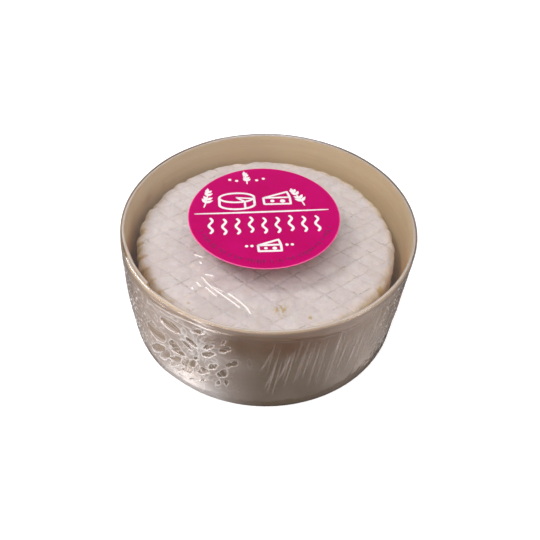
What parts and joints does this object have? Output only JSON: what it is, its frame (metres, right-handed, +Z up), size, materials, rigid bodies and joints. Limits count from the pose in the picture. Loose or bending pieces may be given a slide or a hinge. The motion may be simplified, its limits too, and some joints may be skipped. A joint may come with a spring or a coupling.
{
  "type": "camembert",
  "caption": "Small soft ripened cheese with a rack-printed white rind, in its open round veneer box, sealed in clear film with a round magenta sticker on top.",
  "frame": {"origin": "on the underside of the film, below the middle of the box", "axes": "+Z up along the box's axis, -Y towards the front, +X to the right seen from the front"},
  "size_m": [0.0928, 0.0922, 0.0389],
  "materials": {
    "veneer_side": "bare peeled poplar",
    "veneer_disc": "bare peeled poplar",
    "white_rind": "downy white mould rind",
    "clear_film": "clear shrink film",
    "magenta_paper": "satin printed sticker"
  },
  "bodies": {
    "root": {"box_hoop": "veneer_side", "box_base": "veneer_disc", "cheese": "white_rind", "film": "clear_film", "sticker": "magenta_paper"}
  },
  "joints": []
}
